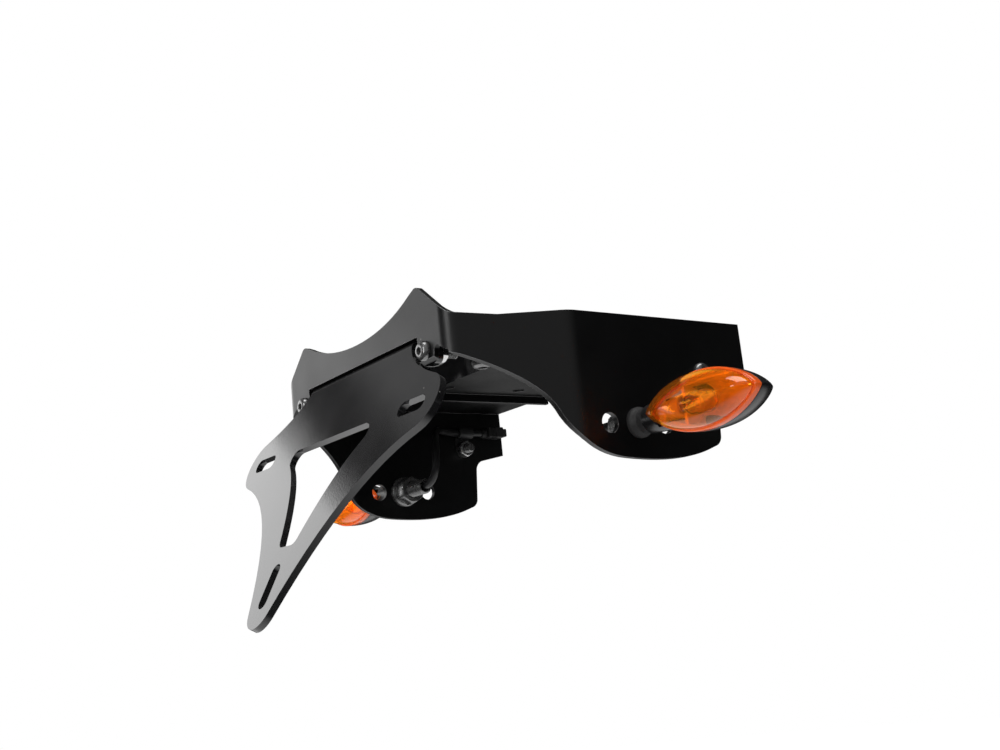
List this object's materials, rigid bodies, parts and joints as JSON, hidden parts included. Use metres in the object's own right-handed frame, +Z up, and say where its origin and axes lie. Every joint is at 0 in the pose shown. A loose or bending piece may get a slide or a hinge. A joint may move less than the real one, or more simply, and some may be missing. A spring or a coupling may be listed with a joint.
{
  "type": "tail tidy",
  "caption": "Black tail tidy: slotted number plate bracket under a moulded undertray with amber indicators on its side ears",
  "frame": {"origin": "centre of the four roof holes, on the roof's top face, where the bike's tail sits", "axes": "+Y forward along the bike, +X to the bike's right, +Z up and square to the roof"},
  "size_m": [0.3386, 0.2, 0.1333],
  "materials": {
    "sheet_steel": "satin black powder coat",
    "moulding": "fine grained black",
    "black_steel": "black oxide",
    "zinc": "bright zinc",
    "stem_rubber": "matt",
    "seal_rubber": "matt",
    "lead_sheath": "matt",
    "plug_plastic": "matt",
    "housing_plastic": "gloss black",
    "amber": "clear amber",
    "bright": "mirror bright",
    "holder_plastic": "plain",
    "bulb_glass": "amber glass"
  },
  "bodies": {
    "root": {"plate_bracket": "sheet_steel", "undertray": "moulding", "flange_bolts": "black_steel", "flange_washers": "zinc", "flange_nuts": "zinc", "rear_bolt_left": "black_steel", "rear_bolt_right": "black_steel", "rear_nut_left": "zinc", "rear_nut_right": "zinc", "side_bolt_left": "black_steel", "side_bolt_right": "black_steel", "side_nut_left": "zinc", "side_nut_right": "zinc", "lead_clip_left": "plug_plastic", "lead_clip_right": "plug_plastic", "lead_left": "lead_sheath", "lead_right": "lead_sheath", "lead_plug_left": "plug_plastic", "lead_plug_right": "plug_plastic", "stem_left": "stem_rubber", "stem_right": "stem_rubber", "stud_left": "black_steel", "stud_right": "black_steel", "stud_washer_left": "black_steel", "stud_washer_right": "black_steel", "stud_nut_left": "black_steel", "stud_nut_right": "black_steel", "housing_left": "housing_plastic", "housing_right": "housing_plastic", "gasket_left": "seal_rubber", "gasket_right": "seal_rubber", "reflector_left": "bright", "reflector_right": "bright", "bulb_holder_left": "holder_plastic", "bulb_holder_right": "holder_plastic", "bulb_left": "bulb_glass", "bulb_right": "bulb_glass", "lens_left": "amber", "lens_right": "amber"}
  },
  "joints": []
}
